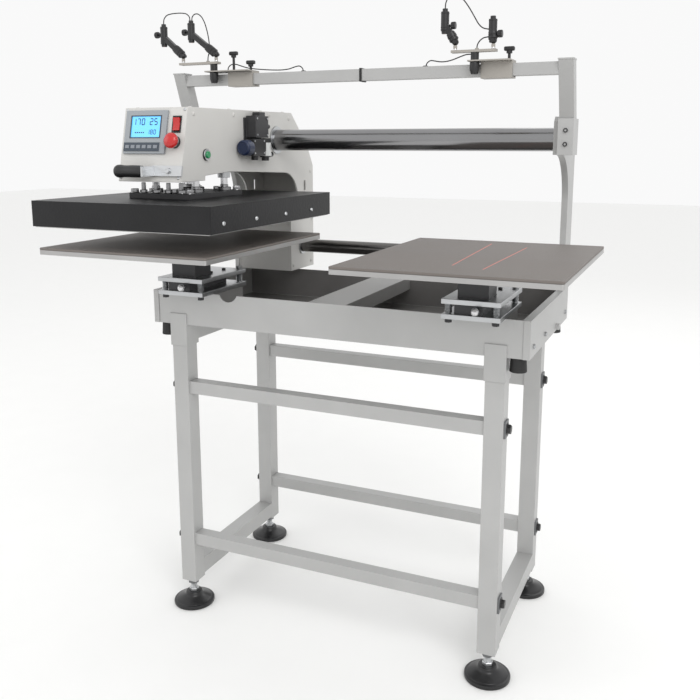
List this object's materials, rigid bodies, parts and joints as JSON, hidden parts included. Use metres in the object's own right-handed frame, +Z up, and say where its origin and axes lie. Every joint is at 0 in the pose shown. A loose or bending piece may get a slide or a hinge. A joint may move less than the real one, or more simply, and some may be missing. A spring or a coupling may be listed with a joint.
{
  "type": "heat_press",
  "caption": "Pneumatic heat press with a heated head that slides between side-by-side platens, laser placement guides and a square-tube floor stand.",
  "frame": {"origin": "On the floor, at the middle of the machine's overall length and depth.", "axes": "+X along the guide tubes to the right as the operator stands in front, +Y to the back, +Z up."},
  "size_m": [1.087, 0.7146, 1.4323],
  "materials": {
    "bezel": "matt film",
    "bronze": "sintered bronze",
    "charcoal_paint": "textured",
    "chrome": "polished",
    "dark_paint": "hammered black",
    "foot_plastic": "fine texture",
    "green": "gloss",
    "lcd": "gloss",
    "lead": "satin sheath",
    "navy": "gloss",
    "panel_grey": "textured",
    "plastic_black": "fine texture",
    "plate_white": "satin powder coat",
    "platen_alu": "cast and machined",
    "red": "gloss",
    "rubber_black": "matt",
    "silicone": "matt silicone",
    "stand_white": "satin powder coat",
    "tray_paint": "satin powder coat",
    "zinc": "zinc plated"
  },
  "bodies": {
    "frame": {"legs": "stand_white", "stand_rails": "stand_white", "stand_fasteners": "zinc", "tray_body": "tray_paint", "tray_beams": "tray_paint", "tray_buffers": "rubber_black", "end_plate_left": "plate_white", "end_plate_right": "plate_white", "guide_tube_upper": "chrome", "guide_tube_lower": "chrome", "post_blocks": "charcoal_paint", "laser_frame": "plate_white", "pedestal_plates": "dark_paint", "pedestal_bolts": "zinc", "pedestal_blocks": "charcoal_paint", "lower_platens": "platen_alu", "silicone_pads": "silicone"},
    "head": {"head_side_plates": "plate_white", "head_cover": "charcoal_paint", "control_panel": "panel_grey", "cylinder_deck": "zinc", "head_bushes": "bronze", "air_cylinder": "platen_alu", "control_bezel": "bezel", "display": "lcd", "control_collars": "plastic_black", "handle_bracket": "dark_paint", "handle_grip": "plastic_black", "solenoid_valve": "platen_alu", "regulator_body": "plastic_black"},
    "press": {"guide_rods": "chrome", "mounting_plate": "dark_paint", "platen_housing": "dark_paint", "heating_plate": "platen_alu"},
    "foot_front_left": {"levelling_foot_front_left": "foot_plastic"},
    "foot_front_right": {"levelling_foot_front_right": "foot_plastic"},
    "foot_rear_left": {"levelling_foot_rear_left": "foot_plastic"},
    "foot_rear_right": {"levelling_foot_rear_right": "foot_plastic"},
    "knob_left": {"lock_knob_left": "chrome"},
    "knob_right": {"lock_knob_right": "chrome"},
    "rocker": {"power_rocker": "plastic_black"},
    "estop": {"emergency_button": "red"},
    "start": {"start_button": "green"},
    "regulator": {"regulator_knob": "navy"},
    "clamp_left": {"laser_clamp_left": "platen_alu", "trailing_lead_left": "lead"},
    "clamp_right": {"laser_clamp_right": "platen_alu", "trailing_lead_right": "lead"},
    "screw_left_outer": {"thumbscrew_left_outer": "plastic_black"},
    "screw_left_inner": {"thumbscrew_left_inner": "plastic_black"},
    "screw_right": {"thumbscrew_right": "plastic_black"},
    "arm_left": {"laser_arm_left": "plastic_black", "laser_leads_left": "lead"},
    "arm_right": {"laser_arm_right": "plastic_black", "laser_leads_right": "lead"},
    "laser_left_outer": {"laser_left_outer": "plastic_black"},
    "laser_left_inner": {"laser_left_inner": "plastic_black"},
    "laser_right_inner": {"laser_right_inner": "plastic_black"},
    "laser_right_outer": {"laser_right_outer": "plastic_black"}
  },
  "joints": [
    {"name": "head_slide", "type": "slide", "parent": "frame", "child": "head", "axis": [1, 0, 0], "range_m": [-0.007, 0.661]},
    {"name": "press_stroke", "type": "slide", "parent": "head", "child": "press", "axis": [0, 0, -1], "range_m": [0, 0.043], "stiffness_N_per_m": 12000, "springref_m": -0.04},
    {"name": "level_front_left", "type": "slide", "parent": "frame", "child": "foot_front_left", "axis": [0, 0, -1], "range_m": [0, 0.02]},
    {"name": "level_front_right", "type": "slide", "parent": "frame", "child": "foot_front_right", "axis": [0, 0, -1], "range_m": [0, 0.02]},
    {"name": "level_rear_left", "type": "slide", "parent": "frame", "child": "foot_rear_left", "axis": [0, 0, -1], "range_m": [0, 0.02]},
    {"name": "level_rear_right", "type": "slide", "parent": "frame", "child": "foot_rear_right", "axis": [0, 0, -1], "range_m": [0, 0.02]},
    {"name": "knob_pull_left", "type": "slide", "parent": "frame", "child": "knob_left", "axis": [0, -1, 0], "range_m": [0, 0.008], "stiffness_N_per_m": 600, "springref_m": -0.003},
    {"name": "knob_pull_right", "type": "slide", "parent": "frame", "child": "knob_right", "axis": [0, -1, 0], "range_m": [0, 0.008], "stiffness_N_per_m": 600, "springref_m": -0.003},
    {"name": "rocker_switch", "type": "hinge", "parent": "head", "child": "rocker", "pos_m": [-0.2675, -0.22186, 1.166], "axis": [-1, 0, 0], "range_deg": [0, 13.5]},
    {"name": "estop_press", "type": "slide", "parent": "head", "child": "estop", "axis": [0, 0.9742, -0.2258], "range_m": [0, 0.004], "stiffness_N_per_m": 1500, "springref_m": -0.002},
    {"name": "start_press", "type": "slide", "parent": "head", "child": "start", "axis": [-1, 0, 0], "range_m": [0, 0.003], "stiffness_N_per_m": 800, "springref_m": -0.002},
    {"name": "regulator_turn", "type": "hinge", "parent": "head", "child": "regulator", "pos_m": [-0.2275, -0.01875, 1.118], "axis": [0, 1, 0], "continuous": true},
    {"name": "clamp_slide_left", "type": "slide", "parent": "frame", "child": "clamp_left", "axis": [1, 0, 0], "range_m": [-0.05, 0.06], "deforming": ["trailing_lead_left"]},
    {"name": "clamp_slide_right", "type": "slide", "parent": "frame", "child": "clamp_right", "axis": [1, 0, 0], "range_m": [-0.05, 0.05], "deforming": ["trailing_lead_right"]},
    {"name": "screw_turn_left_outer", "type": "hinge", "parent": "clamp_left", "child": "screw_left_outer", "pos_m": [-0.3125, 0.07725, 1.3], "axis": [0, 0, 1], "continuous": true},
    {"name": "screw_turn_left_inner", "type": "hinge", "parent": "clamp_left", "child": "screw_left_inner", "pos_m": [-0.2665, 0.07725, 1.3], "axis": [0, 0, 1], "continuous": true},
    {"name": "screw_turn_right", "type": "hinge", "parent": "clamp_right", "child": "screw_right", "pos_m": [0.3435, 0.07725, 1.3], "axis": [0, 0, 1], "continuous": true},
    {"name": "arm_swing_left", "type": "hinge", "parent": "clamp_left", "child": "arm_left", "pos_m": [-0.3505, 0.05025, 1.311], "axis": [0, 0, 1], "range_deg": [-20, 20]},
    {"name": "arm_swing_right", "type": "hinge", "parent": "clamp_right", "child": "arm_right", "pos_m": [0.2785, 0.05025, 1.311], "axis": [0, 0, 1], "range_deg": [-20, 20]},
    {"name": "laser_tilt_left_outer", "type": "hinge", "parent": "arm_left", "child": "laser_left_outer", "pos_m": [-0.4355, 0.05025, 1.333], "axis": [0, 1, 0], "range_deg": [-15, 15], "deforming": ["laser_leads_left"]},
    {"name": "laser_tilt_left_inner", "type": "hinge", "parent": "arm_left", "child": "laser_left_inner", "pos_m": [-0.3435, 0.05025, 1.333], "axis": [0, 1, 0], "range_deg": [-15, 15], "deforming": ["laser_leads_left"]},
    {"name": "laser_tilt_right_inner", "type": "hinge", "parent": "arm_right", "child": "laser_right_inner", "pos_m": [0.2365, 0.05025, 1.333], "axis": [0, 1, 0], "range_deg": [-15, 15], "deforming": ["laser_leads_right"]},
    {"name": "laser_tilt_right_outer", "type": "hinge", "parent": "arm_right", "child": "laser_right_outer", "pos_m": [0.3165, 0.05025, 1.333], "axis": [0, 1, 0], "range_deg": [-15, 15], "deforming": ["laser_leads_right"]}
  ]
}
